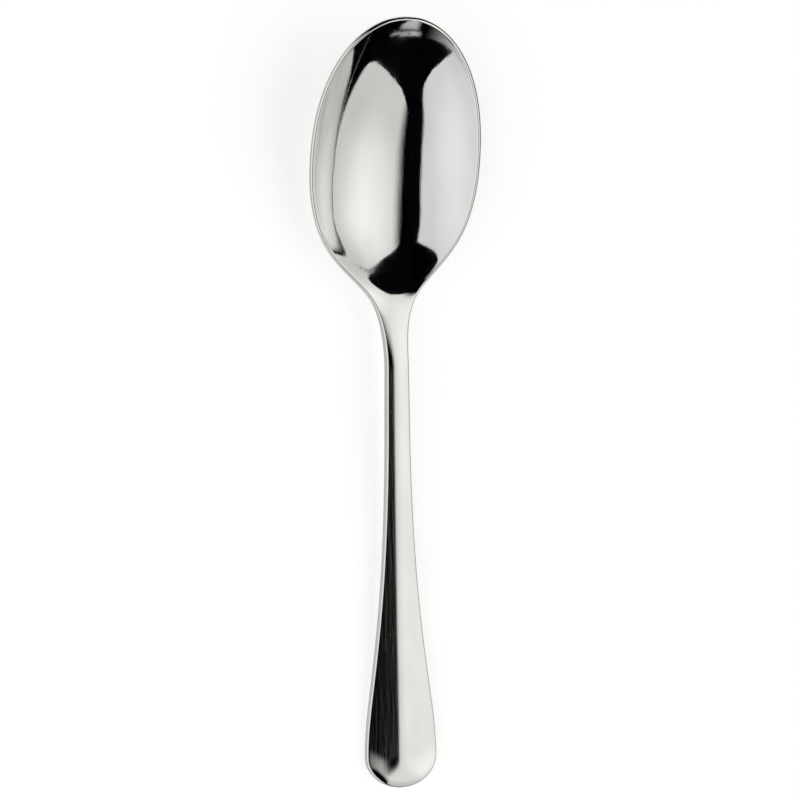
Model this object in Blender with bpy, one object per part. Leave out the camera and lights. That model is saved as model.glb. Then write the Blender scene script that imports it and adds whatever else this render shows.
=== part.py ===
"""A dessert spoon of polished stainless steel, lying on its back with the bowl upwards.

The long axis is Y, with the bowl towards +Y, and +Z is up. The spoon rests on the plane z = 0, on the
small flat under its bowl and on the back of the handle near its end. Positions along the spoon are
distances from the handle's end. The empty that carries the pieces moves the origin under the middle.
"""
import math

import bmesh
import bpy
import numpy as np
from mathutils import Vector

MM = 0.001

# Outline: (distance from the handle's end, half width of the upper edge), in millimetres
OUTLINE = (
    (7.0, 8.25),
    (25.0, 6.53),
    (42.0, 4.50),
    (60.0, 3.14),
    (80.0, 2.43),
    (96.0, 2.25),
    (104.0, 2.30),
    (110.0, 3.10),
    (117.0, 6.43),
    (124.0, 12.90),
    (135.0, 18.54),
    (146.0, 19.88),
)
HANDLE_ROUND = 6.85
TIP_ROUND = 32.71
TIP_POWER = 2.3

# Side view: the upper edge's rise above the straight line of the handle, in millimetres
EDGE_RISE = (
    (98.0, 0.0),
    (108.0, -1.29),
    (118.0, -2.56),
    (132.0, -2.05),
    (150.0, 0.6),
    (178.0, 6.3),
)
TIP_RISE_SLOPE = 0.23
HANDLE_SLOPE = math.radians(3.938)
HANDLE_EDGE_HEIGHT = 1.385

# Bowl, in millimetres; the fullnesses swell its hollow above or below a paraboloid. Towards the neck the
# flatness eases the middle of its sections, and the bow draws the heel's sides away from the neck.
BOWL_MIDDLE = 150.0
BOWL_DEPTH = 9.62
SIDE_FULLNESS = 0.26
TIP_FULLNESS = 0.08
HEEL_FULLNESS = -0.124
HEEL_FLATNESS = 0.636
HEEL_BOW = 0.029
HEEL_CHANGE = (115.3, 137.2)
HEEL_LENGTH = 32.54
HEEL_BLEND = 0.834
WALL = 1.1
SHELL_CHANGE = (109.0, 122.0)

# Handle, in millimetres; a pair gives the two places between which something changes
RIDGE_ANGLE = math.radians(10.4)
RIDGE_CREST = 1.4
NECK_CREST = 5.9
CREST_CHANGE = (96.9, 118.8)
RIDGE_START = (1.3, 8.28)
RIDGE_START_SPREAD = (0.092, 0.033)
RIDGE_START_DIP = 1.36
RIDGE_DIP_AT = 3.8
RIDGE_FADE = (111.7, 121.0)
END_ROLL = 0.19
ROLL_START = 0.68
ROLL_FADE = (1.6, 5.6)
END_EDGE = 1.9
STEM_EDGE = 2.2
STEM_EDGE_CHANGE = (30.0, 90.0)
WALL_CHANGE = (103.0, 126.0)
STEM_BELLY = 1.3
BELLY_CHANGE = (36.0, 92.0)
EDGE_BULGE = 0.32

# Joint of the bowl, the heel drop and the handle, in millimetres
JOINT = 108.0
BRAZE_GAP = 0.3
DROP_END = 124.5
DROP_ROUND = 7.0
DROP_HALF_WIDTH = 2.6
DROP_ROOT_HEIGHT = 1.3
DROP_TIP_HEIGHT = 0.5
DROP_EDGE = 0.3

# Facets
FACE_STEPS = 20
EDGE_STEPS = 6
BOWL_ROWS = 48
HANDLE_ROWS = 52
DROP_ROWS = 16
DROP_STEPS = 6
WELD = 0.000004
SLOPE_STEP = 0.0001
SMOOTH_ANGLE = math.radians(40.0)

STEEL_COLOUR = (0.60, 0.59, 0.57, 1.0)
STEEL_ROUGHNESS = 0.08


def smooth_step(start, end, value):
    """Returns 0 before start and 1 after end, with no break in slope or bend between them."""
    part = min(max((value - start) / (end - start), 0.0), 1.0)
    return part ** 3 * (10.0 - 15.0 * part + 6.0 * part ** 2)


def smooth_curve(stations, first_slope, last_slope):
    """Returns the cubic spline through the stations, with the given slopes at its ends."""
    places = np.array([station[0] for station in stations])
    values = np.array([station[1] for station in stations])
    steps = np.diff(places)
    count = len(places)
    system = np.eye(count)
    slopes = np.zeros(count)
    slopes[0] = first_slope
    slopes[-1] = last_slope
    for i in range(1, count - 1):
        before, after = 1.0 / steps[i - 1], 1.0 / steps[i]
        system[i, i - 1:i + 2] = before, 2.0 * (before + after), after
        rise_before = (values[i] - values[i - 1]) * before ** 2
        rise_after = (values[i + 1] - values[i]) * after ** 2
        slopes[i] = 3.0 * (rise_before + rise_after)
    slopes = np.linalg.solve(system, slopes)

    def value_at(place):
        i = int(np.clip(np.searchsorted(places, place) - 1, 0, count - 2))
        part = (place - places[i]) / steps[i]
        rest = 1.0 - part
        chord = values[i] * rest ** 2 * (1.0 + 2.0 * part) + values[i + 1] * part ** 2 * (1.0 + 2.0 * rest)
        bend = slopes[i] * rest ** 2 * part - slopes[i + 1] * part ** 2 * rest
        return chord + bend * steps[i]

    return value_at


outline_curve = smooth_curve(OUTLINE, 0.0, 0.0)
rise_curve = smooth_curve(EDGE_RISE, 0.0, TIP_RISE_SLOPE)
HANDLE_WIDEST = OUTLINE[0][0]
BOWL_WIDEST = OUTLINE[-1][0]
HANDLE_END = HANDLE_WIDEST - HANDLE_ROUND
BOWL_TIP = BOWL_WIDEST + TIP_ROUND


def full_half_width(y):
    """Returns the half width before the two ends are rounded."""
    return outline_curve(min(max(y, HANDLE_WIDEST), BOWL_WIDEST))


def half_width(y):
    """Returns the half width of the upper edge, an ellipse at the handle's end and fuller at the tip."""
    end_part = min(max((HANDLE_WIDEST - y) / HANDLE_ROUND, 0.0), 1.0)
    tip_part = min(max((y - BOWL_WIDEST) / TIP_ROUND, 0.0), 1.0)
    return full_half_width(y) * math.sqrt((1.0 - end_part ** 2) * (1.0 - tip_part ** TIP_POWER))


def roof(reach, y):
    """Returns the drop below the line where the handle's facets meet, round over the crest."""
    crest = RIDGE_CREST + (NECK_CREST - RIDGE_CREST) * smooth_step(*CREST_CHANGE, y)
    if reach < crest:
        reach = (reach ** 2 / crest + crest) / 2.0
    return math.tan(RIDGE_ANGLE) * reach


def facet_share(x, y):
    """Returns the share of the facets' slope: none on the flat end, all from the ridge's start on."""
    aside = (x / RIDGE_DIP_AT) ** 2
    dip = RIDGE_START_DIP * aside * math.exp(1.0 - aside)
    none_at = RIDGE_START[0] - RIDGE_START_SPREAD[0] * x ** 2
    all_at = RIDGE_START[1] + RIDGE_START_SPREAD[1] * x ** 2 - dip
    return smooth_step(none_at, all_at, y)


def edge_height(y):
    """Returns the height of the upper edge: the handle's line, the bowl's sweep and the rise to the flat end."""
    line = HANDLE_EDGE_HEIGHT + y * math.tan(HANDLE_SLOPE)
    end_rise = roof(full_half_width(y), y) * (1.0 - facet_share(half_width(y), y))
    return line + rise_curve(max(y, EDGE_RISE[0][0])) + end_rise


def heel_profile(y):
    """Returns the depth's share along the middle, from the bowl's middle down and back up to the flat neck.

    The bowl's own curve, blended into zero where it would come up through the neck.
    """
    reach = (max(BOWL_MIDDLE - y, 0.0) / HEEL_LENGTH) ** 2
    level = (1.0 - reach) * (1.0 + SIDE_FULLNESS * reach)
    near = max(1.0 - abs(level) / HEEL_BLEND, 0.0)
    return max(level, 0.0) + HEEL_BLEND / 6.0 * near ** 3


def dish(x, y):
    """Returns how far the bowl's inside lies below its rim."""
    along = min(max((y - BOWL_MIDDLE) / (BOWL_TIP - BOWL_MIDDLE), 0.0), 1.0) ** 2
    side = min(abs(x) / max(half_width(y), SLOPE_STEP), 1.0)
    heel_share = 1.0 - smooth_step(*HEEL_CHANGE, y)
    across = (1.0 - along) * side ** (2.0 + HEEL_FLATNESS * heel_share)
    if y >= BOWL_MIDDLE:
        return BOWL_DEPTH * (1.0 - across - along) * (1.0 + SIDE_FULLNESS * across + TIP_FULLNESS * along)
    fullness = SIDE_FULLNESS + (HEEL_FULLNESS - SIDE_FULLNESS) * heel_share
    bowed = y - HEEL_BOW * heel_share * x ** 2
    return BOWL_DEPTH * heel_profile(bowed) * (1.0 - across) * (1.0 + fullness * across)


def ridge(x, y):
    """Returns the height of the handle's two facets above its edges."""
    edge = roof(full_half_width(y), y) * facet_share(half_width(y), y)
    fade = 1.0 - smooth_step(*RIDGE_FADE, y)
    return (edge - roof(abs(x), y) * facet_share(x, y)) * fade


def roll(x, y):
    """Returns the drop of the upper surface where it rolls over to the handle's round end."""
    along = min(max((HANDLE_WIDEST - y) / HANDLE_ROUND, 0.0), 1.0)
    reach = (x / full_half_width(y)) ** 2 + along ** 2
    near = min(max((reach - ROLL_START) / (1.0 - ROLL_START), 0.0), 1.0)
    return END_ROLL * near ** 2 * (1.0 - smooth_step(*ROLL_FADE, y))


def front_height(x, y):
    """Returns the height of the upper surface at a place in plan."""
    return edge_height(y) - dish(x, y) + ridge(x, y) - roll(x, y)


def front_point(x, y):
    """Returns the point of the upper surface at a place in plan."""
    return Vector((x, y, front_height(x, y)))


def front_normal(x, y):
    """Returns the upper surface's normal, from its slopes across and along the spoon."""
    x, y = x * (1.0 - SLOPE_STEP), min(y, BOWL_TIP - SLOPE_STEP)
    across = front_height(x + SLOPE_STEP, y) - front_height(x - SLOPE_STEP, y)
    along = front_height(x, y + SLOPE_STEP) - front_height(x, y - SLOPE_STEP)
    return Vector((-across, -along, 2.0 * SLOPE_STEP)).normalized()


def thickness(y):
    """Returns the thickness at the edge: the handle's end, the stem and the bowl's wall."""
    handle = END_EDGE + (STEM_EDGE - END_EDGE) * smooth_step(*STEM_EDGE_CHANGE, y)
    return handle + (WALL - handle) * smooth_step(*WALL_CHANGE, y)


def belly(x, y):
    """Returns the stem's rounded back, which runs out flat towards the handle's end."""
    return STEM_BELLY * smooth_step(*BELLY_CHANGE, y) * max(1.0 - (x / full_half_width(y)) ** 2, 0.0)


def inward(x, y):
    """Returns the direction from the back to the front: upright in the stem, square to the bowl's wall."""
    shell = smooth_step(*SHELL_CHANGE, y)
    return Vector((0.0, 0.0, 1.0)).lerp(front_normal(x, y), shell)


def bowl_back(x, y):
    """Returns the point of the bowl's back, with the small flat that it rests on."""
    flat = Vector((x, y, edge_height(y) - thickness(y)))
    shell = front_point(x, y) - front_normal(x, y) * thickness(y)
    point = flat.lerp(shell, smooth_step(*SHELL_CHANGE, y))
    point.z = max(point.z, 0.0)
    return point


def handle_back(x, y):
    """Returns the point of the handle's back."""
    return Vector((x, y, edge_height(y) - thickness(y) - belly(x, y)))


def edge_point(back_point, y, side, turn):
    """Returns a point of the rounded edge, from the front at no turn to the back at half a turn."""
    front = front_point(side * half_width(y), y)
    back = back_point(side * half_width(y), y)
    before, after = max(y - SLOPE_STEP, HANDLE_END), min(y + SLOPE_STEP, BOWL_TIP)
    spread = side * (half_width(after) - half_width(before))
    rise = edge_height(after) - edge_height(before)
    along = Vector((spread, after - before, rise))
    outward = along.cross(front - back).normalized() * side
    bulge = EDGE_BULGE * thickness(y)
    return (front + back) / 2 + (front - back) / 2 * math.cos(turn) + outward * bulge * math.sin(turn)


def section_point(back_point, y, step):
    """Returns one point of the closed section: front, right edge, back, left edge."""
    width = half_width(y)
    if step <= FACE_STEPS:
        return front_point(width * (2.0 * step / FACE_STEPS - 1.0), y)
    step -= FACE_STEPS
    if step <= EDGE_STEPS:
        return edge_point(back_point, y, 1.0, math.pi * step / EDGE_STEPS)
    step -= EDGE_STEPS
    if step <= FACE_STEPS:
        return back_point(width * (1.0 - 2.0 * step / FACE_STEPS), y)
    step -= FACE_STEPS
    return edge_point(back_point, y, -1.0, math.pi * (1.0 - step / EDGE_STEPS))


def drop_point(y, step):
    """Returns one point of the heel drop's section: its seat against the bowl, then its crown."""
    round_part = max((y - DROP_END + DROP_ROUND) / DROP_ROUND, 0.0)
    width = DROP_HALF_WIDTH * math.sqrt(max(1.0 - round_part ** 2, 0.0))
    on_seat = step <= DROP_STEPS
    across = 2.0 * step / DROP_STEPS - 1.0
    depth = BRAZE_GAP
    if not on_seat:
        across = 1.0 - 2.0 * (step - DROP_STEPS - 1) / DROP_STEPS
        taper = smooth_step(JOINT, DROP_END, y)
        crown = DROP_ROOT_HEIGHT + (DROP_TIP_HEIGHT - DROP_ROOT_HEIGHT) * taper - DROP_EDGE
        depth += DROP_EDGE + crown * (1.0 - across ** 2)
    return bowl_back(across * width, y) - inward(across * width, y) * depth


def close_set(first, last, part):
    """Returns a place between first and last, with the places set closer towards both ends."""
    return first + (last - first) * (0.5 - 0.5 * math.cos(math.pi * part))


def steel():
    """Makes the polished stainless steel of one piece."""
    material = bpy.data.materials.new("polished_steel")
    material.use_nodes = True
    shader = material.node_tree.nodes["Principled BSDF"]
    shader.inputs["Base Color"].default_value = STEEL_COLOUR
    shader.inputs["Metallic"].default_value = 1.0
    shader.inputs["Roughness"].default_value = STEEL_ROUGHNESS
    return material


def skin(name, rows, steps, point_at):
    """Wraps a grid round the sections of a piece, welds it and closes its open ends.

    point_at takes the share of the way along the piece and the step round its section.
    """
    shape = bmesh.new()
    bmesh.ops.create_grid(shape, x_segments=rows, y_segments=steps, size=0.5)
    for vert in shape.verts:
        along, step = vert.co.x + 0.5, round((vert.co.y + 0.5) * steps)
        vert.co = point_at(along, step) * MM
    bmesh.ops.remove_doubles(shape, verts=shape.verts, dist=WELD)
    bmesh.ops.holes_fill(shape, edges=shape.edges, sides=0)
    bmesh.ops.recalc_face_normals(shape, faces=shape.faces)
    mesh = bpy.data.meshes.new(name)
    shape.to_mesh(mesh)
    shape.free()
    mesh.shade_smooth()
    mesh.set_sharp_from_angle(angle=SMOOTH_ANGLE)
    piece = bpy.data.objects.new(name, mesh)
    piece.data.materials.append(steel())
    return piece


def make_bowl():
    """Makes the dished bowl with its rim, shoulders and short neck."""
    steps = 2 * (FACE_STEPS + EDGE_STEPS)
    start = JOINT + BRAZE_GAP / 2

    def point_at(along, step):
        return section_point(bowl_back, close_set(start, BOWL_TIP, along), step % steps)

    return skin("bowl", BOWL_ROWS, steps, point_at)


def make_handle():
    """Makes the stem and the ridged handle with its flat round end."""
    steps = 2 * (FACE_STEPS + EDGE_STEPS)
    stop = JOINT - BRAZE_GAP / 2

    def point_at(along, step):
        return section_point(handle_back, close_set(HANDLE_END, stop, along), step % steps)

    return skin("handle", HANDLE_ROWS, steps, point_at)


def make_heel_drop():
    """Makes the tongue on the bowl's back that carries the bowl into the stem."""
    steps = 2 * (DROP_STEPS + 1)
    start = JOINT + BRAZE_GAP / 2

    def point_at(along, step):
        return drop_point(close_set(start, DROP_END, along), step % steps)

    return skin("heel_drop", DROP_ROWS, steps, point_at)


def main():
    """Builds the three pieces and sets the origin under the middle of the spoon's box."""
    for old in list(bpy.data.objects):
        bpy.data.objects.remove(old, do_unlink=True)
    spoon = bpy.data.collections.new("dessert_spoon")
    bpy.context.scene.collection.children.link(spoon)
    middle = bpy.data.objects.new("spoon_origin", None)
    spoon.objects.link(middle)
    pieces = [make_bowl(), make_heel_drop(), make_handle()]
    lengths = [vert.co.y for piece in pieces for vert in piece.data.vertices]
    middle.location.y = -(min(lengths) + max(lengths)) / 2
    for piece in pieces:
        spoon.objects.link(piece)
        piece.parent = middle


main()
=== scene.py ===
"""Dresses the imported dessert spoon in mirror-polished stainless steel and photographs it in a pale studio.

The bowl, the heel drop and the handle are each replaced by a dense smooth form of the same shape, flush at
the joint, so that reflections run over the spoon unbroken. Sizes are in millimetres, and MM turns them into
Blender's metres where a mesh, a material or the camera takes them.
"""
import logging
import math
from dataclasses import dataclass, field
from enum import Enum
from typing import Any, Callable

import bmesh
import bpy
import numpy as np
from mathutils import Matrix, Vector


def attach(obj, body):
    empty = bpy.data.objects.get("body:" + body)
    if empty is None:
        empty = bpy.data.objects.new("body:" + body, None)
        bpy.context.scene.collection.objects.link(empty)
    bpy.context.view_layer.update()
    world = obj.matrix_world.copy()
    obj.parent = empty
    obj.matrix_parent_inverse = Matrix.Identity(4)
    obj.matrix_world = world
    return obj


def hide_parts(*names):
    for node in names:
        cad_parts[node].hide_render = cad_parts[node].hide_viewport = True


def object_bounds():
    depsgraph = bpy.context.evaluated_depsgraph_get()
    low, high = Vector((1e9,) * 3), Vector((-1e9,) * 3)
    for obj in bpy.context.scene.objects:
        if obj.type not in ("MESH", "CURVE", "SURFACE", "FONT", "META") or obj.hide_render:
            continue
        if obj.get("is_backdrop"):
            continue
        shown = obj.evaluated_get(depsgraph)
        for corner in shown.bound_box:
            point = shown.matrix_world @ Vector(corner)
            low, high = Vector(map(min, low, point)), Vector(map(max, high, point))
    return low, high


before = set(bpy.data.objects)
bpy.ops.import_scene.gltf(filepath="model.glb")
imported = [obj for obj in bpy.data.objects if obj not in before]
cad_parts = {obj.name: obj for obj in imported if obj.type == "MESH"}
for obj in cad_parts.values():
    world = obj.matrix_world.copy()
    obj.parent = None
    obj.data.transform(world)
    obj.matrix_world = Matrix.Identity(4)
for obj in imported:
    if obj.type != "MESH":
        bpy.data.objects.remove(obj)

MM = 0.001
NO_LENGTH = 1e-12
WHITE = "FFFFFF"
# The dark room's colour: the world's darkness in the steel, and also painted on the paper far from the spoon
# as shade.
DARK_ROOM = "030407"
log = logging.getLogger("dessert_spoon")

Array = np.ndarray
Surface = Callable[[Array, Array], Array]


def linear(hex_colour: str) -> tuple[float, float, float, float]:
    """Turns an sRGB hex colour into linear light.

    Args:
        hex_colour: six hex digits, such as "E8E5DF".

    Returns:
        Red, green, blue and an alpha of 1.
    """
    parts = [int(hex_colour[i:i + 2], 16) / 255.0 for i in (0, 2, 4)]
    light = [p / 12.92 if p <= 0.04045 else ((p + 0.055) / 1.055) ** 2.4 for p in parts]
    return (light[0], light[1], light[2], 1.0)


def smooth_step(start: float | Array, end: float | Array, value: Array) -> Array:
    """Goes from 0 at start to 1 at end with no break in slope or bend.

    Args:
        start: where the step begins.
        end: where it is complete.
        value: places to read it at.

    Returns:
        The step's height at each place.
    """
    part = np.clip((value - start) / (end - start), 0.0, 1.0)
    return part ** 3 * (10.0 - 15.0 * part + 6.0 * part ** 2)


def close_set(first: float, last: float, part: Array) -> Array:
    """Spreads places from first to last, closer together towards both ends."""
    return first + (last - first) * (0.5 - 0.5 * np.cos(math.pi * part))


def unit(vectors: Array) -> Array:
    """Scales vectors to a length of 1."""
    return vectors / np.maximum(np.linalg.norm(vectors, axis=-1, keepdims=True), NO_LENGTH)


@dataclass
class SmoothCurve:
    """A cubic spline through a few stations, with set slopes at its two ends."""

    stations: tuple[tuple[float, float], ...]
    first_slope: float = 0.0
    last_slope: float = 0.0
    places: Array = field(init=False, repr=False)
    values: Array = field(init=False, repr=False)
    slopes: Array = field(init=False, repr=False)

    def __post_init__(self) -> None:
        """Solves for the slope at each station that leaves no break in the curve's bend."""
        self.places = np.array([station[0] for station in self.stations])
        self.values = np.array([station[1] for station in self.stations])
        steps = np.diff(self.places)
        count = len(self.places)
        system = np.eye(count)
        right = np.zeros(count)
        right[0], right[-1] = self.first_slope, self.last_slope
        for i in range(1, count - 1):
            before, after = 1.0 / steps[i - 1], 1.0 / steps[i]
            system[i, i - 1:i + 2] = before, 2.0 * (before + after), after
            rise_before = (self.values[i] - self.values[i - 1]) * before ** 2
            rise_after = (self.values[i + 1] - self.values[i]) * after ** 2
            right[i] = 3.0 * (rise_before + rise_after)
        self.slopes = np.linalg.solve(system, right)

    def at(self, place: Array) -> Array:
        """Reads the curve.

        Args:
            place: places along it; outside its stations the end pieces go on.

        Returns:
            The curve's value at each place.
        """
        place = np.asarray(place, float)
        i = np.clip(np.searchsorted(self.places, place) - 1, 0, len(self.places) - 2)
        step = self.places[i + 1] - self.places[i]
        part = (place - self.places[i]) / step
        rest = 1.0 - part
        near = self.values[i] * rest ** 2 * (1.0 + 2.0 * part)
        far = self.values[i + 1] * part ** 2 * (1.0 + 2.0 * rest)
        bend = self.slopes[i] * rest ** 2 * part - self.slopes[i + 1] * part ** 2 * rest
        return near + far + bend * step


@dataclass
class SpoonForm:
    """The spoon's shape as formulas: x across, y from the handle's end, z above the table.

    A pair of places along the spoon, such as heel_reach, says where a change begins and where it is
    complete. Fullness, flatness and blend are pure numbers, and a bow or a spread is per millimetre.
    """

    # Plan: half widths of the upper edge, and the rounding of its two ends.
    outline: SmoothCurve = field(default_factory=lambda: SmoothCurve((
        (7.0, 8.25), (25.0, 6.53), (42.0, 4.50), (60.0, 3.14), (80.0, 2.43), (96.0, 2.25),
        (104.0, 2.30), (110.0, 3.10), (117.0, 6.43), (124.0, 12.90), (135.0, 18.54), (146.0, 19.88),
    )))
    handle_round: float = 6.85
    tip_round: float = 32.71
    tip_power: float = 2.3

    # Side view: the handle is straight, and the bowl's rim dips at the neck and rises to the tip.
    edge_rise: SmoothCurve = field(default_factory=lambda: SmoothCurve((
        (98.0, 0.0), (108.0, -1.29), (118.0, -2.56), (132.0, -2.05), (150.0, 0.6), (178.0, 6.3),
    ), 0.0, 0.23))
    handle_slope: float = math.radians(3.938)
    handle_edge_height: float = 1.385

    # Bowl: a swollen paraboloid from its deepest line to the tip, and a flatter, bowed heel to the neck.
    bowl_middle: float = 150.0
    bowl_depth: float = 9.62
    bowl_fullness: float = 0.26
    tip_fullness: float = 0.08
    heel_fullness: float = -0.124
    heel_flatness: float = 0.636
    heel_bow: float = 0.029
    heel_length: float = 32.54
    heel_blend: float = 0.834
    heel_reach: tuple[float, float] = (115.3, 137.2)

    # Ridge: two facets with a round crest that widens and fades into the neck.
    ridge_angle: float = math.radians(10.4)
    ridge_crest: float = 1.4
    neck_crest: float = 5.9
    crest_spread: tuple[float, float] = (96.9, 118.8)
    ridge_fade: tuple[float, float] = (111.7, 121.0)

    # Flat end: the facets run out along two bowed lines, and the rim rolls over a little.
    ridge_start: tuple[float, float] = (1.3, 8.28)
    ridge_spread: tuple[float, float] = (0.092, 0.033)
    ridge_dip: float = 1.36
    ridge_dip_at: float = 3.8
    end_roll: float = 0.19
    roll_start: float = 0.68
    roll_fade: tuple[float, float] = (1.6, 5.6)

    # Back and edges: thicknesses, and where one takes over from the other.
    wall: float = 1.1
    wall_change: tuple[float, float] = (103.0, 126.0)
    shell_change: tuple[float, float] = (109.0, 122.0)
    end_edge: float = 1.9
    stem_edge: float = 2.2
    stem_edge_change: tuple[float, float] = (30.0, 90.0)
    stem_belly: float = 1.3
    belly_change: tuple[float, float] = (36.0, 92.0)
    edge_bulge: float = 0.32
    joint: float = 108.0

    # The distance over which slopes are measured.
    slope_step: float = 0.0005

    @property
    def handle_widest(self) -> float:
        """Place of the line from which the handle's end is rounded."""
        return self.outline.stations[0][0]

    @property
    def handle_end(self) -> float:
        """Place of the upper edge's end on the handle."""
        return self.handle_widest - self.handle_round

    @property
    def bowl_widest(self) -> float:
        """Place of the bowl's widest line."""
        return self.outline.stations[-1][0]

    @property
    def bowl_tip(self) -> float:
        """Place of the upper edge's end on the bowl."""
        return self.bowl_widest + self.tip_round

    def end_share(self, y: Array) -> Array:
        """Share of the way over the handle's rounded end, 0 before it."""
        return np.clip((self.handle_widest - y) / self.handle_round, 0.0, 1.0)

    def full_half_width(self, y: Array) -> Array:
        """Half width at each place before the two ends are rounded."""
        return self.outline.at(np.clip(y, self.handle_widest, self.bowl_widest))

    def half_width(self, y: Array) -> Array:
        """Gives half the width between the upper edges: an ellipse at the handle's end, fuller at the tip.

        Args:
            y: places along the spoon.

        Returns:
            The half width at each place.
        """
        tip_share = np.clip((y - self.bowl_widest) / self.tip_round, 0.0, 1.0)
        rounding = (1.0 - self.end_share(y) ** 2) * (1.0 - tip_share ** self.tip_power)
        return self.full_half_width(y) * np.sqrt(rounding)

    def roof(self, reach: Array, y: Array) -> Array:
        """Gives the drop of the facets below the line where they would meet, round over the crest.

        Args:
            reach: distances from the middle.
            y: places along the spoon.

        Returns:
            The drop at each place.
        """
        crest = self.ridge_crest + (self.neck_crest - self.ridge_crest) * smooth_step(*self.crest_spread, y)
        rounded = (reach ** 2 / crest + crest) / 2.0
        return math.tan(self.ridge_angle) * np.where(reach < crest, rounded, reach)

    def facet_share(self, x: Array, y: Array) -> Array:
        """Gives the share of the facets' slope: none on the flat end, all from the ridge's start on.

        Args:
            x: places across.
            y: places along the spoon.

        Returns:
            The share at each place, which is full sooner on both sides of the ridge.
        """
        aside = (x / self.ridge_dip_at) ** 2
        dip = self.ridge_dip * aside * np.exp(1.0 - aside)
        none_at = self.ridge_start[0] - self.ridge_spread[0] * x ** 2
        all_at = self.ridge_start[1] + self.ridge_spread[1] * x ** 2 - dip
        return smooth_step(none_at, all_at, y)

    def edge_height(self, y: Array) -> Array:
        """Gives the height of the upper edge: handle line, bowl sweep and rise to the flat end.

        Args:
            y: places along the spoon.

        Returns:
            The height at each place.
        """
        line = self.handle_edge_height + y * math.tan(self.handle_slope)
        sweep = self.edge_rise.at(np.maximum(y, self.edge_rise.stations[0][0]))
        flat_share = 1.0 - self.facet_share(self.half_width(y), y)
        return line + sweep + self.roof(self.full_half_width(y), y) * flat_share

    @staticmethod
    def hollow(reach: Array, swell: Array) -> Array:
        """Share of the depth at each squared share of the way to the rim, swollen from a paraboloid."""
        return (1.0 - np.clip(reach, 0.0, 1.0)) * (1.0 + swell)

    def heel_profile(self, y: Array) -> Array:
        """Gives the share of the depth along the middle, from the deepest line up to the flat neck.

        Args:
            y: places along the spoon.

        Returns:
            The share at each place, with a soft bend where it runs out to 0.
        """
        reach = (np.clip(self.bowl_middle - y, 0.0, None) / self.heel_length) ** 2
        level = (1.0 - reach) * (1.0 + self.bowl_fullness * reach)
        near = np.clip(1.0 - np.abs(level) / self.heel_blend, 0.0, None)
        return np.maximum(level, 0.0) + self.heel_blend / 6.0 * near ** 3

    def dish(self, x: Array, y: Array) -> Array:
        """Gives the depth of the bowl's inside below its rim.

        Args:
            x: places across.
            y: places along the spoon.

        Returns:
            The depth at each place.
        """
        along = np.clip((y - self.bowl_middle) / (self.bowl_tip - self.bowl_middle), 0.0, 1.0) ** 2
        heel_share = 1.0 - smooth_step(*self.heel_reach, y)
        side = np.clip(np.abs(x) / np.maximum(self.half_width(y), self.slope_step), 0.0, 1.0)
        across = (1.0 - along) * side ** (2.0 + self.heel_flatness * heel_share)
        swell = self.bowl_fullness * across + self.tip_fullness * along
        towards_tip = self.hollow(across + along, swell)
        fullness = self.bowl_fullness + (self.heel_fullness - self.bowl_fullness) * heel_share
        bowed = y - self.heel_bow * heel_share * x ** 2
        towards_neck = self.heel_profile(bowed) * self.hollow(across, fullness * across)
        return self.bowl_depth * np.where(y >= self.bowl_middle, towards_tip, towards_neck)

    def ridge(self, x: Array, y: Array) -> Array:
        """Gives the height of the handle's two facets above its edges.

        Args:
            x: places across.
            y: places along the spoon.

        Returns:
            The height at each place.
        """
        edge = self.roof(self.full_half_width(y), y) * self.facet_share(self.half_width(y), y)
        here = self.roof(np.abs(x), y) * self.facet_share(x, y)
        return (edge - here) * (1.0 - smooth_step(*self.ridge_fade, y))

    def roll(self, x: Array, y: Array) -> Array:
        """Gives the drop of the upper surface where it rolls over to the handle's round end.

        Args:
            x: places across.
            y: places along the spoon.

        Returns:
            The drop at each place.
        """
        reach = (x / self.full_half_width(y)) ** 2 + self.end_share(y) ** 2
        near = np.clip((reach - self.roll_start) / (1.0 - self.roll_start), 0.0, 1.0)
        return self.end_roll * near ** 2 * (1.0 - smooth_step(*self.roll_fade, y))

    def front_height(self, x: Array, y: Array) -> Array:
        """Height of the upper surface at each place in plan."""
        return self.edge_height(y) - self.dish(x, y) + self.ridge(x, y) - self.roll(x, y)

    def front(self, x: Array, y: Array) -> Array:
        """Points of the upper surface at each place in plan."""
        return np.stack([x, y, self.front_height(x, y)], axis=-1)

    def front_normal(self, x: Array, y: Array) -> Array:
        """Gives unit normals of the upper surface, from its slopes across and along.

        Args:
            x: places across.
            y: places along the spoon.

        Returns:
            One normal for each place.
        """
        step = self.slope_step
        x = x * (1.0 - step)
        y = np.minimum(y, self.bowl_tip - step)
        across = self.front_height(x + step, y) - self.front_height(x - step, y)
        along = self.front_height(x, y + step) - self.front_height(x, y - step)
        return unit(np.stack([-across, -along, np.full_like(across, 2.0 * step)], axis=-1))

    def thickness(self, y: Array) -> Array:
        """Thickness at the edge: handle end, stem, then the bowl's wall."""
        handle = self.end_edge + (self.stem_edge - self.end_edge) * smooth_step(*self.stem_edge_change, y)
        return handle + (self.wall - handle) * smooth_step(*self.wall_change, y)

    def belly(self, x: Array, y: Array) -> Array:
        """Depth of the stem's rounded back, which runs out flat towards the handle's end."""
        round_back = np.clip(1.0 - (x / self.full_half_width(y)) ** 2, 0.0, None)
        return self.stem_belly * smooth_step(*self.belly_change, y) * round_back

    def shell_share(self, y: Array) -> Array:
        """Share of the bowl's square-to-the-wall thickness at each place, 0 in the stem."""
        return smooth_step(*self.shell_change, y)[..., None]

    def inward(self, x: Array, y: Array) -> Array:
        """Gives directions from the back to the front: upright in the stem, square to the bowl's wall.

        Args:
            x: places across.
            y: places along the spoon.

        Returns:
            One direction for each place.
        """
        upright = np.zeros(np.shape(y) + (3,))
        upright[..., 2] = 1.0
        share = self.shell_share(y)
        return upright * (1.0 - share) + self.front_normal(x, y) * share

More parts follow.
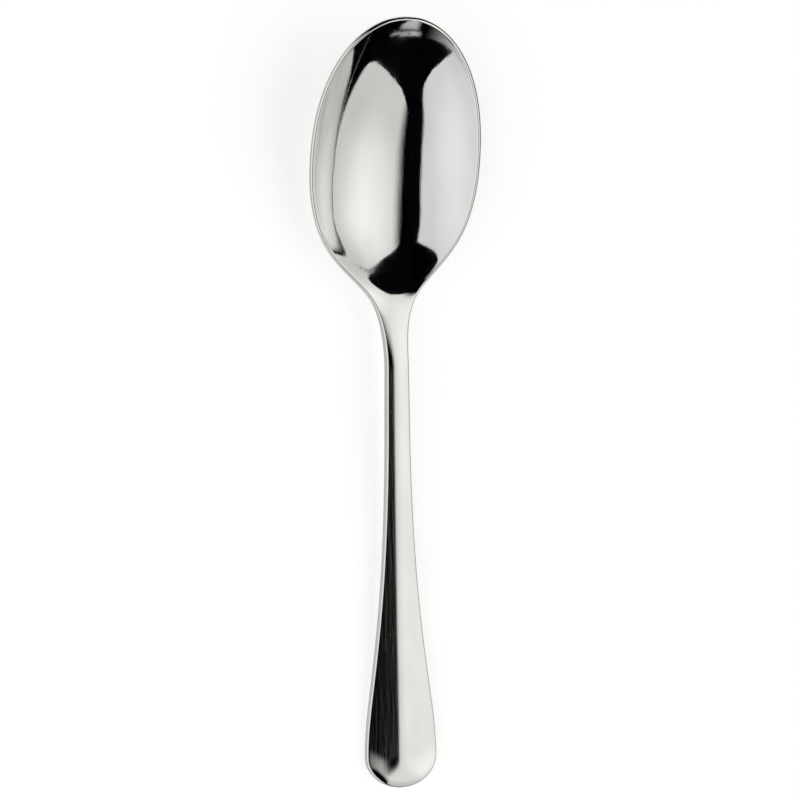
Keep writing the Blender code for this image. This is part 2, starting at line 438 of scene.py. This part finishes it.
    def bowl_back(self, x: Array, y: Array) -> Array:
        """Gives points of the bowl's back, with the small flat that it rests on.

        Args:
            x: places across.
            y: places along the spoon.

        Returns:
            One point for each place.
        """
        thick = self.thickness(y)
        flat = np.stack([x, y, self.edge_height(y) - thick], axis=-1)
        shell = self.front(x, y) - self.front_normal(x, y) * thick[..., None]
        share = self.shell_share(y)
        points = flat * (1.0 - share) + shell * share
        points[..., 2] = np.maximum(points[..., 2], 0.0)
        return points

    def handle_back(self, x: Array, y: Array) -> Array:
        """Points of the handle's back."""
        return np.stack([x, y, self.edge_height(y) - self.thickness(y) - self.belly(x, y)], axis=-1)


@dataclass
class Section:
    """The closed section of a piece: front, right edge, back and left edge, in even steps."""

    form: SpoonForm
    back: Surface
    face_steps: int
    edge_steps: int

    @property
    def steps(self) -> int:
        """Steps all the way round."""
        return 2 * (self.face_steps + self.edge_steps)

    def rounded_edge(self, y: Array, side: Array, turn: Array) -> Array:
        """Gives points of the rounded edge.

        Args:
            y: places along the spoon.
            side: 1 on the right and -1 on the left.
            turn: 0 at the front to pi at the back.

        Returns:
            One point for each place.
        """
        form = self.form
        front = form.front(side * form.half_width(y), y)
        back = self.back(side * form.half_width(y), y)
        before = np.maximum(y - form.slope_step, form.handle_end)
        after = np.minimum(y + form.slope_step, form.bowl_tip)
        spread = side * (form.half_width(after) - form.half_width(before))
        rise = form.edge_height(after) - form.edge_height(before)
        along = np.stack([spread, after - before, rise], axis=-1)
        outward = unit(np.cross(along, front - back)) * side[..., None]
        bulge = form.edge_bulge * form.thickness(y)
        middle, half = (front + back) / 2.0, (front - back) / 2.0
        return middle + half * np.cos(turn)[..., None] + outward * (bulge * np.sin(turn))[..., None]

    def points(self, y: Array, step: Array) -> Array:
        """Gives points of the sections.

        Args:
            y: places along the spoon.
            step: steps round the section, from the left edge over the front.

        Returns:
            One point for each place and step.
        """
        faces, edges = self.face_steps, self.edge_steps
        step = step % self.steps
        width = self.form.half_width(y)
        on_front = step <= faces
        on_right = (step > faces) & (step <= faces + edges)
        on_back = (step > faces + edges) & (step <= 2 * faces + edges)
        front_share = np.clip(2.0 * step / faces - 1.0, -1.0, 1.0)
        back_share = np.clip(1.0 - 2.0 * (step - faces - edges) / faces, -1.0, 1.0)
        side = np.where(on_right, 1.0, -1.0)
        right_turn = math.pi * (step - faces) / edges
        left_turn = math.pi * (1.0 - (step - 2 * faces - edges) / edges)
        turn = np.clip(np.where(on_right, right_turn, left_turn), 0.0, math.pi)
        found = self.rounded_edge(y, side, turn)
        found = np.where(on_back[..., None], self.back(width * back_share, y), found)
        return np.where(on_front[..., None], self.form.front(width * front_share, y), found)

    def between(self, first: float, last: float) -> Surface:
        """Gives the piece's whole surface between two places.

        Args:
            first: the place where the piece begins.
            last: the place where it ends.

        Returns:
            A function that takes shares of the way along and steps round, and gives points.
        """
        return lambda along, step: self.points(close_set(first, last, along), step)


def new_object(name: str, shape: bmesh.types.BMesh) -> bpy.types.Object:
    """Turns a finished shape into an object at the origin and links it to the scene.

    Args:
        name: the object's and its mesh's name.
        shape: the shape, in metres, which is freed.

    Returns:
        The new object.
    """
    mesh = bpy.data.meshes.new(name)
    shape.to_mesh(mesh)
    shape.free()
    made = bpy.data.objects.new(name, mesh)
    bpy.context.scene.collection.objects.link(made)
    return made


@dataclass
class Skin:
    """Wraps a grid round a piece's sections and closes its open ends."""

    name: str
    rows: int
    steps: int
    shift: float
    weld: float = 0.004
    sharp: float = math.radians(50.0)

    def wrap(self, point_at: Surface) -> bpy.types.Object:
        """Builds the piece.

        Args:
            point_at: takes shares of the way along and steps round, and gives points in millimetres.

        Returns:
            The new object, at the origin, with its place in its mesh.
        """
        shape = bmesh.new()
        bmesh.ops.create_grid(shape, x_segments=self.rows, y_segments=self.steps, size=0.5)
        grid = np.array([vert.co[:2] for vert in shape.verts]) + 0.5
        # The grid is in single precision, so each corner is set back exactly on its row and step.
        along = np.round(grid[:, 0] * self.rows) / self.rows
        points = point_at(along, np.round(grid[:, 1] * self.steps))
        points[:, 1] += self.shift
        for vert, point in zip(shape.verts, points * MM):
            vert.co = point
        bmesh.ops.remove_doubles(shape, verts=shape.verts, dist=self.weld * MM)
        bmesh.ops.holes_fill(shape, edges=shape.edges, sides=0)
        bmesh.ops.recalc_face_normals(shape, faces=shape.faces)
        piece = new_object(self.name, shape)
        piece.data.shade_smooth()
        piece.data.set_sharp_from_angle(angle=self.sharp)
        return piece


def add_node(
    tree: bpy.types.NodeTree, kind: str, links: dict[str | int, Any] | None = None, **settings: Any,
) -> bpy.types.Node:
    """Adds one node with its settings and links.

    Args:
        tree: the node tree that it goes into.
        kind: the node's Blender type.
        links: input name or number to a source socket or a constant.
        settings: the node's own properties.

    Returns:
        The new node.
    """
    node = tree.nodes.new(kind)
    for key, value in settings.items():
        setattr(node, key, value)
    for key, source in (links or {}).items():
        if isinstance(source, bpy.types.NodeSocket):
            tree.links.new(source, node.inputs[key])
        else:
            node.inputs[key].default_value = source
    return node


def new_material(name: str) -> bpy.types.Material:
    """Makes a material that has a Principled BSDF.

    Args:
        name: the material's name.

    Returns:
        The new material.
    """
    material = bpy.data.materials.new(name)
    material.use_nodes = True
    return material


def light_up(tree: bpy.types.NodeTree, colour: str, strength: bpy.types.NodeSocket) -> None:
    """Makes a material glow and reflect nothing.

    Args:
        tree: the material's node tree.
        colour: the light's sRGB hex colour.
        strength: the light's strength at each place.
    """
    tree.nodes.remove(tree.nodes["Principled BSDF"])
    glow = add_node(tree, "ShaderNodeEmission", {"Color": linear(colour), "Strength": strength})
    tree.links.new(glow.outputs[0], tree.nodes["Material Output"].inputs["Surface"])


@dataclass(frozen=True)
class PolishedSteel:
    """Stainless 18/10 steel, stamped and buffed to a mirror on soft wheels.

    The wheels run along the spoon, so they leave very shallow lines that way, a haze where the compound was
    worked less, and a few hairline scratches come from use. The eye sees a bright, neutral mirror whose
    reflections waver a little across the spoon and soften in the haze. Sizes are in millimetres. Real
    buffing lines are some 0.02 mm wide, too fine to show, so they are drawn 0.5 mm wide.
    """

    name: str = "polished_stainless_steel"
    colour: str = "E8E8E6"
    haze_colour: str = "DEDFDE"
    roughness: float = 0.03
    haze_roughness: float = 0.075
    scratch_roughness: float = 0.16
    line_width: float = 0.5
    line_length: float = 16.0
    line_depth: float = 0.0045
    haze_width: float = 9.0
    haze_length: float = 27.0
    haze_share: tuple[float, float] = (0.35, 0.75)
    scratch_width: float = 0.35
    scratch_length: float = 18.0
    scratch_turn: float = math.radians(9.0)
    scratch_share: tuple[float, float] = (0.70, 0.76)
    streak_layers: float = 2.0
    streak_fineness: float = 0.5

    def streaks(
        self, tree: bpy.types.NodeTree, width: float, length: float, turn: float = 0.0,
    ) -> bpy.types.NodeSocket:
        """Draws soft streaks along the spoon.

        Args:
            tree: the material's node tree.
            width: a streak's width across the spoon, in millimetres.
            length: its length along the spoon, in millimetres.
            turn: how far it is turned from the spoon's long axis.

        Returns:
            A value from 0 to 1 that changes from streak to streak.
        """
        place = add_node(tree, "ShaderNodeTexCoord").outputs["Object"]
        across, along = 1.0 / (width * MM), 1.0 / (length * MM)
        stretched = add_node(tree, "ShaderNodeMapping", {
            "Vector": place, "Rotation": (0.0, 0.0, turn), "Scale": (across, along, across)},
            vector_type="POINT")
        noise = add_node(tree, "ShaderNodeTexNoise", {
            "Vector": stretched.outputs[0], "Scale": 1.0,
            "Detail": self.streak_layers, "Roughness": self.streak_fineness})
        return noise.outputs["Fac"]

    def make(self) -> bpy.types.Material:
        """Builds the material's nodes.

        Returns:
            The material.
        """
        material = new_material(self.name)
        tree = material.node_tree
        shader = tree.nodes["Principled BSDF"]
        lines = self.streaks(tree, self.line_width, self.line_length)
        patches = self.streaks(tree, self.haze_width, self.haze_length)
        hairs = self.streaks(tree, self.scratch_width, self.scratch_length, self.scratch_turn)
        haze = add_node(tree, "ShaderNodeMapRange", {
            "Value": patches, "From Min": self.haze_share[0], "From Max": self.haze_share[1]},
            interpolation_type="SMOOTHSTEP")
        colour = add_node(tree, "ShaderNodeMix", {
            0: haze.outputs[0], 6: linear(self.colour), 7: linear(self.haze_colour)}, data_type="RGBA")
        polish = add_node(tree, "ShaderNodeMapRange", {
            "Value": haze.outputs[0], "To Min": self.roughness, "To Max": self.haze_roughness})
        scratch = add_node(tree, "ShaderNodeMapRange", {
            "Value": hairs, "From Min": self.scratch_share[0], "From Max": self.scratch_share[1],
            "To Max": self.scratch_roughness}, interpolation_type="SMOOTHSTEP")
        roughness = add_node(tree, "ShaderNodeMath", {
            0: polish.outputs[0], 1: scratch.outputs[0]}, operation="MAXIMUM")
        relief = add_node(tree, "ShaderNodeBump", {
            "Strength": 1.0, "Distance": self.line_depth * MM, "Height": lines})
        shader.inputs["Metallic"].default_value = 1.0
        tree.links.new(colour.outputs[2], shader.inputs["Base Color"])
        tree.links.new(roughness.outputs[0], shader.inputs["Roughness"])
        tree.links.new(relief.outputs[0], shader.inputs["Normal"])
        return material


@dataclass
class Bowl:
    """The dished bowl with its rim, shoulders and short neck."""

    form: SpoonForm
    shift: float
    rows: int = 220
    face_steps: int = 120
    edge_steps: int = 10

    def build(self) -> bpy.types.Object:
        """Makes the bowl's mesh from the joint to the tip.

        Returns:
            The bowl.
        """
        section = Section(self.form, self.form.bowl_back, self.face_steps, self.edge_steps)
        skin = Skin("bowl_polished", self.rows, section.steps, self.shift)
        return skin.wrap(section.between(self.form.joint, self.form.bowl_tip))


@dataclass
class Handle:
    """The stem and the ridged handle with its flat round end."""

    form: SpoonForm
    shift: float
    rows: int = 260
    face_steps: int = 72
    edge_steps: int = 10

    def build(self) -> bpy.types.Object:
        """Makes the handle's mesh from its end to the joint.

        Returns:
            The handle.
        """
        section = Section(self.form, self.form.handle_back, self.face_steps, self.edge_steps)
        skin = Skin("handle_polished", self.rows, section.steps, self.shift)
        return skin.wrap(section.between(self.form.handle_end, self.form.joint))


@dataclass
class HeelDrop:
    """The tongue on the bowl's back that carries the bowl into the stem."""

    form: SpoonForm
    shift: float
    end: float = 124.5
    round_length: float = 7.0
    half_width: float = 2.6
    root_height: float = 1.35
    tip_height: float = 0.55
    sunk: float = 0.3
    rows: int = 90
    face_steps: int = 36

    def points(self, along: Array, step: Array) -> Array:
        """Gives the tongue's points: the seat, then the crown.

        Args:
            along: shares of the way from the joint to the tongue's end.
            step: steps round the tongue, from the left edge over the seat.

        Returns:
            One point for each share and step.
        """
        form, faces = self.form, self.face_steps
        y = close_set(form.joint, self.end, along)
        step = step % (2 * faces)
        on_seat = step <= faces
        across = np.where(on_seat, 2.0 * step / faces - 1.0, 3.0 - 2.0 * step / faces)
        taper = smooth_step(form.joint, self.end, y)
        crown = self.root_height + (self.tip_height - self.root_height) * taper
        arch = crown * np.sqrt(np.clip(1.0 - across ** 2, 0.0, 1.0))
        depth = np.where(on_seat, 0.0, arch) - self.sunk
        round_part = np.clip((y - self.end + self.round_length) / self.round_length, 0.0, 1.0)
        x = across * self.half_width * np.sqrt(1.0 - round_part ** 2)
        return form.bowl_back(x, y) - form.inward(x, y) * depth[..., None]

    def build(self) -> bpy.types.Object:
        """Makes the tongue's mesh, its seat sunk a little into the bowl's back."""
        return Skin("heel_drop_polished", self.rows, 2 * self.face_steps, self.shift).wrap(self.points)


@dataclass(frozen=True)
class PhotoCamera:
    """A long lens above the spoon, a little to its left and towards the bowl's tip.

    Roll leans it to the left, pitch towards the tip, and spin turns the picture. The aim is a point in the
    spoon, and its offset is right and up in the picture.
    """

    name: str = "photo_camera"
    roll: float = math.radians(20.0)
    pitch: float = math.radians(6.0)
    spin: float = math.radians(-1.896)
    distance: float = 900.0
    image_pixels: float = 800.0
    pixels_per_mm: float = 4.328
    aim: tuple[float, float, float] = (0.0, 0.4, 6.8)
    aim_offset: tuple[float, float] = (0.58, 1.42)
    clip: tuple[float, float] = (50.0, 20000.0)

    def place(self) -> None:
        """Makes the camera and sets it as the scene's own."""
        back = Vector((
            -math.sin(self.roll) * math.cos(self.pitch),
            math.sin(self.pitch),
            math.cos(self.roll) * math.cos(self.pitch),
        ))
        level = Vector((0.0, 1.0, 0.0)).cross(back).normalized()
        upright = back.cross(level)
        right = level * math.cos(self.spin) + upright * math.sin(self.spin)
        up = upright * math.cos(self.spin) - level * math.sin(self.spin)
        spot = Vector(self.aim) + right * self.aim_offset[0] + up * self.aim_offset[1]
        data = bpy.data.cameras.new(self.name)
        data.lens = data.sensor_width * self.distance * self.pixels_per_mm / self.image_pixels
        data.clip_start, data.clip_end = (limit * MM for limit in self.clip)
        camera = bpy.data.objects.new(self.name, data)
        turn = Matrix((right, up, back)).transposed().to_4x4()
        camera.matrix_world = Matrix.Translation((spot + back * self.distance) * MM) @ turn
        bpy.context.scene.collection.objects.link(camera)
        bpy.context.scene.camera = camera


class Side(Enum):
    """Which side of the spoon a softbox stands on, as the sign of its x."""

    LEFT = -1.0
    RIGHT = 1.0


@dataclass(frozen=True)
class Softbox:
    """A large white diffusing panel that faces the spoon, unseen by the camera.

    Its place is given by the directions in which the spoon sees its edges: degrees from straight above for
    the edges along the spoon, and slopes along the spoon for its two ends. Corners, fades, slants and the
    dent are in units of its distance. The lamp's, the slant's and the dent's places are shares of the panel.
    """

    name: str
    side: Side
    inner_angle: float
    outer_angle: float
    handle_end: float
    bowl_end: float
    bowl_slant: float
    handle_corner: float
    bowl_corner: float
    outer_corner: float
    inner_fade: float
    outer_fade: float
    edge_fade: float
    middle_light: float
    edge_light: float
    hot_spot: tuple[float, float]
    hot_reach: float = 0.5
    inner_slant: float = 0.0
    slant_reach: tuple[float, float] = (0.58, 0.95)
    dent: float = 0.0
    dent_at: float = 0.425
    dent_reach: float = 0.25
    colour: str = WHITE
    distance: float = 2500.0

    def rounded_end(
        self, tree: bpy.types.NodeTree, from_side: bpy.types.NodeSocket, from_end: bpy.types.NodeSocket,
        corner: float,
    ) -> bpy.types.NodeSocket:
        """Cuts one end of the panel off, with a round corner at one side.

        Args:
            tree: the material's node tree.
            from_side: distance from the side.
            from_end: distance from the end.
            corner: the corner's radius.

        Returns:
            A value of 1 on the panel that falls to 0 at the end.
        """
        margins = add_node(tree, "ShaderNodeCombineXYZ", {"X": from_side, "Y": from_end})
        beyond = add_node(tree, "ShaderNodeVectorMath", {
            0: margins.outputs[0], 1: (-1.0, -1.0, 0.0), 2: (corner, corner, 0.0)},
            operation="MULTIPLY_ADD")
        outside = add_node(tree, "ShaderNodeVectorMath", {0: beyond.outputs[0]}, operation="MAXIMUM")
        reach = add_node(tree, "ShaderNodeVectorMath", {0: outside.outputs[0]}, operation="LENGTH")
        cut = add_node(tree, "ShaderNodeMapRange", {
            "Value": reach.outputs["Value"], "From Min": corner - self.edge_fade, "From Max": corner,
            "To Min": 1.0, "To Max": 0.0}, interpolation_type="SMOOTHSTEP")
        return cut.outputs[0]

    def diffuser(self, width: float, length: float) -> bpy.types.Material:
        """Makes the panel's glowing cloth, brightest before its lamp, with round corners and fading edges.

        Args:
            width: the panel's size across, in units of its distance.
            length: its size along the spoon, in the same units.

        Returns:
            The material.
        """
        material = new_material(self.name)
        tree = material.node_tree
        place = add_node(tree, "ShaderNodeTexCoord").outputs["UV"]
        parts = add_node(tree, "ShaderNodeSeparateXYZ", {0: place})
        across, along = parts.outputs["X"], parts.outputs["Y"]
        slanted = add_node(tree, "ShaderNodeMapRange", {
            "Value": along, "From Min": self.slant_reach[0], "From Max": self.slant_reach[1],
            "To Max": -self.inner_slant})
        from_dent = add_node(tree, "ShaderNodeMath", {0: along, 1: self.dent_at}, operation="SUBTRACT")
        beside_dent = add_node(tree, "ShaderNodeMath", {0: from_dent.outputs[0]}, operation="ABSOLUTE")
        dented = add_node(tree, "ShaderNodeMapRange", {
            "Value": beside_dent.outputs[0], "From Max": self.dent_reach,
            "To Min": -self.dent, "To Max": 0.0}, interpolation_type="SMOOTHSTEP")
        drawn_back = add_node(tree, "ShaderNodeMath", {
            0: slanted.outputs[0], 1: dented.outputs[0]}, operation="ADD")
        from_inner = add_node(tree, "ShaderNodeMath", {
            0: across, 1: width, 2: drawn_back.outputs[0]}, operation="MULTIPLY_ADD").outputs[0]
        from_outer = add_node(tree, "ShaderNodeMath", {
            0: across, 1: -width, 2: width}, operation="MULTIPLY_ADD").outputs[0]
        from_handle = add_node(tree, "ShaderNodeMath", {
            0: along, 1: length}, operation="MULTIPLY").outputs[0]
        reach_at = add_node(tree, "ShaderNodeMath", {
            0: across, 1: self.bowl_slant, 2: length - self.bowl_slant}, operation="MULTIPLY_ADD")
        from_bowl = add_node(tree, "ShaderNodeMath", {
            0: reach_at.outputs[0], 1: from_handle}, operation="SUBTRACT").outputs[0]
        inner = add_node(tree, "ShaderNodeMapRange", {
            "Value": from_inner, "From Max": self.inner_fade}, interpolation_type="SMOOTHSTEP")
        outer = add_node(tree, "ShaderNodeMapRange", {
            "Value": from_inner, "From Min": width - self.outer_fade, "From Max": width,
            "To Min": 1.0, "To Max": 0.0}, interpolation_type="SMOOTHSTEP")
        from_lamp = add_node(tree, "ShaderNodeVectorMath", {
            0: place, 1: (*self.hot_spot, 0.0)}, operation="DISTANCE")
        lamp = add_node(tree, "ShaderNodeMapRange", {
            "Value": from_lamp.outputs["Value"], "From Max": self.hot_reach,
            "To Min": self.middle_light, "To Max": self.edge_light}, interpolation_type="SMOOTHSTEP")
        strength = lamp.outputs[0]
        for share in (
            self.rounded_end(tree, from_inner, from_bowl, self.bowl_corner),
            self.rounded_end(tree, from_inner, from_handle, self.handle_corner),
            self.rounded_end(tree, from_outer, from_handle, self.outer_corner),
            inner.outputs[0],
            outer.outputs[0],
        ):
            cut = add_node(tree, "ShaderNodeMath", {0: strength, 1: share}, operation="MULTIPLY")
            strength = cut.outputs[0]
        light_up(tree, self.colour, strength)
        return material

    def make(self) -> None:
        """Builds the panel as a stage object."""
        sign = self.side.value
        middle = math.radians((self.inner_angle + self.outer_angle) / 2.0)
        width = 2.0 * math.tan(math.radians(self.outer_angle - self.inner_angle) / 2.0)
        length = self.bowl_end + self.bowl_slant - self.handle_end
        shape = bmesh.new()
        shape.loops.layers.uv.new("panel")
        bmesh.ops.create_grid(shape, x_segments=1, y_segments=1, size=0.5, calc_uvs=True)
        bmesh.ops.scale(shape, vec=(sign * width, length, 1.0), verts=shape.verts)
        bmesh.ops.translate(shape, vec=(0.0, self.handle_end + length / 2.0, 1.0), verts=shape.verts)
        bmesh.ops.rotate(shape, matrix=Matrix.Rotation(sign * middle, 3, "Y"), verts=shape.verts)
        bmesh.ops.scale(shape, vec=(self.distance * MM,) * 3, verts=shape.verts)
        panel = new_object(self.name, shape)
        panel.data.materials.append(self.diffuser(width, length))
        panel.visible_camera = False
        panel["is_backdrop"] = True


@dataclass(frozen=True)
class Pane:
    """One pane of the low window, by the slopes at which the spoon sees its edges."""

    left: float
    right: float
    low: float
    high: float
    rise: float = 0.0


@dataclass(frozen=True)
class LowWindow:
    """Low panes of light beyond the handle's end, which the steep tip of the bowl mirrors.

    Each pane fades out over soft_sides, a share of its width, at both sides.
    """

    name: str = "low_window"
    away: float = 3000.0
    light: float = 0.55
    soft_sides: float = 0.30
    panes: tuple[Pane, ...] = (
        Pane(left=0.12, right=0.44, low=-0.030, high=0.067, rise=-0.085),
        Pane(left=0.07, right=0.42, low=0.094, high=0.126, rise=-0.062),
        Pane(left=0.24, right=0.56, low=0.058, high=0.074, rise=-0.100),
        Pane(left=-1.6, right=0.06, low=0.0, high=0.160),
    )

    def glow(self) -> bpy.types.Material:
        """Makes the panes' soft light, which fades towards their sides.

        Returns:
            The material.
        """
        material = new_material(self.name)
        tree = material.node_tree
        place = add_node(tree, "ShaderNodeTexCoord").outputs["UV"]
        parts = add_node(tree, "ShaderNodeSeparateXYZ", {0: place})
        from_middle = add_node(tree, "ShaderNodeMath", {
            0: parts.outputs["X"], 1: 0.5}, operation="SUBTRACT")
        aside = add_node(tree, "ShaderNodeMath", {0: from_middle.outputs[0]}, operation="ABSOLUTE")
        strength = add_node(tree, "ShaderNodeMapRange", {
            "Value": aside.outputs[0], "From Min": 0.5 - self.soft_sides, "From Max": 0.5,
            "To Min": self.light, "To Max": 0.0}, interpolation_type="SMOOTHSTEP")
        light_up(tree, WHITE, strength.outputs[0])
        return material

    def make(self) -> None:
        """Builds the upright panes as one stage object, unseen by the camera."""
        shape = bmesh.new()
        shape.loops.layers.uv.new("pane")
        for pane in self.panes:
            grid = bmesh.ops.create_grid(shape, x_segments=1, y_segments=1, size=0.5, calc_uvs=True)
            width, height = pane.right - pane.left, pane.high - pane.low
            lean = Matrix(((width, 0.0, 0.0), (0.0, 0.0, 1.0), (pane.rise, height, 0.0)))
            bmesh.ops.transform(shape, matrix=lean.to_4x4(), verts=grid["verts"])
            middle = ((pane.left + pane.right) / 2.0, -1.0, (pane.low + pane.high) / 2.0)
            bmesh.ops.translate(shape, vec=middle, verts=grid["verts"])
        bmesh.ops.scale(shape, vec=(self.away * MM,) * 3, verts=shape.verts)
        window = new_object(self.name, shape)
        window.data.materials.append(self.glow())
        window.visible_camera = False
        window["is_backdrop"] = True


@dataclass(frozen=True)
class PalePaper:
    """Uncoated white paper, smooth from the roll.

    The eye sees a matt, even white that keeps the spoon's soft shadow. In the steel it is pale close to the
    spoon and dark farther off. There its colour is painted the dark room's and its glow in the steel fades
    out:
    painted shade where the studio's light doesn't reach. Sizes are in millimetres.
    """

    name: str = "pale_paper"
    colour: str = "DAD9D7"
    roughness: float = 0.9
    glow: float = 0.64
    glow_in_steel: float = 0.25
    pale_middle: tuple[float, float, float] = (-60.0, 0.0, 0.0)
    # Painted shade: between these two distances the paper's colour darkens to the dark room's and its glow
    # in the steel fades out.
    painted_shade_reach: tuple[float, float] = (85.0, 115.0)
    pale_stretch: float = 2.0

    def make(self) -> bpy.types.Material:
        """Builds the material's nodes.

        Returns:
            The material.
        """
        material = new_material(self.name)
        tree = material.node_tree
        shader = tree.nodes["Principled BSDF"]
        place = add_node(tree, "ShaderNodeTexCoord").outputs["Object"]
        middle = tuple(part * MM for part in self.pale_middle)
        near, far = (reach * MM for reach in self.painted_shade_reach)
        shifted = add_node(tree, "ShaderNodeVectorMath", {0: place, 1: middle}, operation="SUBTRACT")
        squeezed = add_node(tree, "ShaderNodeVectorMath", {
            0: shifted.outputs[0], 1: (1.0, 1.0 / self.pale_stretch, 0.0)}, operation="MULTIPLY")
        away = add_node(tree, "ShaderNodeVectorMath", {0: squeezed.outputs[0]}, operation="LENGTH")
        # Painted shade: 0 near the spoon, 1 far off, where the studio's light is taken not to reach.
        beyond = add_node(tree, "ShaderNodeMapRange", {
            "Value": away.outputs["Value"], "From Min": near, "From Max": far},
            interpolation_type="SMOOTHSTEP").outputs[0]
        # The paper's colour, painted dark far from the spoon as shade.
        colour = add_node(tree, "ShaderNodeMix", {
            0: beyond, 6: linear(self.colour), 7: linear(DARK_ROOM)}, data_type="RGBA")
        path = add_node(tree, "ShaderNodeLightPath")
        to_camera = add_node(tree, "ShaderNodeMapRange", {
            "Value": beyond, "To Min": self.glow, "To Max": 1.0})
        to_steel = add_node(tree, "ShaderNodeMapRange", {
            "Value": beyond, "To Min": self.glow_in_steel, "To Max": 0.0})
        in_steel = add_node(tree, "ShaderNodeMath", {
            0: path.outputs["Is Glossy Ray"], 1: to_steel.outputs[0]}, operation="MULTIPLY")
        glow = add_node(tree, "ShaderNodeMath", {
            0: path.outputs["Is Camera Ray"], 1: to_camera.outputs[0], 2: in_steel.outputs[0]},
            operation="MULTIPLY_ADD")
        shader.inputs["Roughness"].default_value = self.roughness
        shader.inputs["Specular IOR Level"].default_value = 0.0
        shader.inputs["Emission Color"].default_value = linear(WHITE)
        tree.links.new(colour.outputs[2], shader.inputs["Base Color"])
        tree.links.new(glow.outputs[0], shader.inputs["Emission Strength"])
        return material


@dataclass(frozen=True)
class Studio:
    """A pale table between two softboxes in a dark room, with the camera in the gap between them.

    The bowl and the handle's left facet mirror the gap as dark bands, and the softboxes as bright panels.
    """

    paper: PalePaper = PalePaper()
    table_size: float = 40000.0
    table_drop: float = 0.1
    softboxes: tuple[Softbox, ...] = (
        Softbox(
            "right_softbox", Side.RIGHT, inner_angle=-1.8, outer_angle=86.0, handle_end=-1.69,
            bowl_end=0.640, bowl_slant=0.02, handle_corner=0.60, bowl_corner=0.163, outer_corner=0.36,
            inner_fade=0.34, outer_fade=0.12, edge_fade=0.02, middle_light=1.12, edge_light=0.72,
            hot_spot=(0.45, 0.75), inner_slant=0.13, colour="FFFDFA",
        ),
        Softbox(
            "left_softbox", Side.LEFT, inner_angle=16.7, outer_angle=87.0, handle_end=-2.34,
            bowl_end=0.681, bowl_slant=0.406, handle_corner=0.50, bowl_corner=0.08, outer_corner=0.06,
            inner_fade=0.10, outer_fade=0.05, edge_fade=0.03, middle_light=0.95, edge_light=0.78,
            hot_spot=(0.6, 0.6), dent=0.086,
        ),
    )
    window: LowWindow = LowWindow()

    def table(self) -> None:
        """Lays the table's paper a hair's breadth below the spoon."""
        shape = bmesh.new()
        bmesh.ops.create_grid(shape, x_segments=1, y_segments=1, size=self.table_size / 2.0 * MM)
        bmesh.ops.translate(shape, vec=(0.0, 0.0, -self.table_drop * MM), verts=shape.verts)
        table = new_object("table", shape)
        table.data.materials.append(self.paper.make())
        table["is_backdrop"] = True

    def room(self) -> None:
        """Sets the world: a dark room in the steel and in the light, a white backdrop to the camera."""
        world = bpy.data.worlds.new("dark_room")
        world.use_nodes = True
        tree = world.node_tree
        path = add_node(tree, "ShaderNodeLightPath")
        colour = add_node(tree, "ShaderNodeMix", {
            0: path.outputs["Is Camera Ray"], 6: linear(DARK_ROOM), 7: linear(WHITE)}, data_type="RGBA")
        tree.links.new(colour.outputs[2], tree.nodes["Background"].inputs["Color"])
        bpy.context.scene.world = world

    def build(self) -> None:
        """Sets up the table, the room, the softboxes and the low window."""
        self.table()
        self.room()
        for softbox in self.softboxes:
            softbox.make()
        self.window.make()
        bpy.context.scene.view_settings.view_transform = "Standard"


def main() -> None:
    """Builds the spoon's pieces and the studio."""
    logging.basicConfig(level=logging.INFO, format="%(name)s: %(message)s")
    cad_low, cad_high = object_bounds()
    form = SpoonForm()
    # The CAD box begins where the handle's rounded edge bulges out beyond its upper edge.
    first = form.handle_end - form.edge_bulge * form.end_edge
    shift = cad_low.y / MM - first
    steel = PolishedSteel().make()
    for node, maker in (("bowl", Bowl), ("heel_drop", HeelDrop), ("handle", Handle)):
        piece = maker(form, shift).build()
        piece.data.materials.append(steel)
        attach(piece, "root")
        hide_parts(node)
        log.info("%s: %d faces", piece.name, len(piece.data.polygons))
    PhotoCamera().place()
    Studio().build()


if __name__ == "__main__":
    main()
